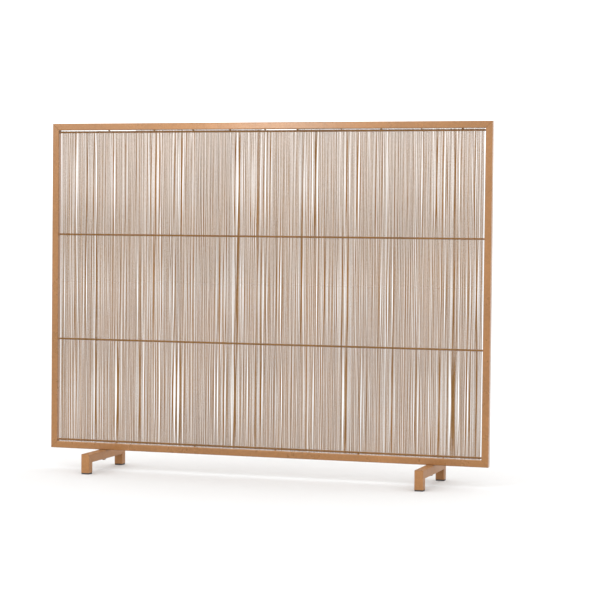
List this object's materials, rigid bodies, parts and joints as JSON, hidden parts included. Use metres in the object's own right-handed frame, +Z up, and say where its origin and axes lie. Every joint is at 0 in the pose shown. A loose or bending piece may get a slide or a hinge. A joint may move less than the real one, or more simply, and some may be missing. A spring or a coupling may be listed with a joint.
{
  "type": "fireplace screen",
  "caption": "Free-standing flat fireplace screen: a mitred square-tube frame around a grille of fine upright wires, on two low bridge feet with rubber pads.",
  "frame": {"origin": "centre of the footprint, on the floor under the middle of the screen", "axes": "+X to the right along the screen's width, +Y from the front face to the back, +Z up"},
  "size_m": [0.9906, 0.2032, 0.762],
  "materials": {
    "painted_tube": "satin copper gold paint",
    "painted_rod": "satin copper gold paint",
    "painted_wire": "satin copper gold paint",
    "rubber_pad": "matte black moulded rubber",
    "painted_bolt": "satin copper gold paint over steel",
    "zinc_plate": "dull zinc plate"
  },
  "bodies": {
    "root": {"frame_top_rail": "painted_tube", "frame_bottom_rail": "painted_tube", "frame_left_stile": "painted_tube", "frame_right_stile": "painted_tube", "panel_top_rod": "painted_rod", "upper_mid_rod": "painted_rod", "lower_mid_rod": "painted_rod", "panel_bottom_rod": "painted_rod", "front_wires": "painted_wire", "back_wires": "painted_wire", "top_spacer_studs": "painted_rod", "bottom_spacer_studs": "painted_rod", "left_foot_crossbar": "painted_tube", "left_foot_front_leg": "painted_tube", "left_foot_rear_leg": "painted_tube", "right_foot_crossbar": "painted_tube", "right_foot_front_leg": "painted_tube", "right_foot_rear_leg": "painted_tube", "left_front_pad": "rubber_pad", "left_rear_pad": "rubber_pad", "right_front_pad": "rubber_pad", "right_rear_pad": "rubber_pad", "foot_bolts": "painted_bolt", "bolt_washers": "painted_bolt", "rail_insert_nuts": "zinc_plate"}
  },
  "joints": []
}
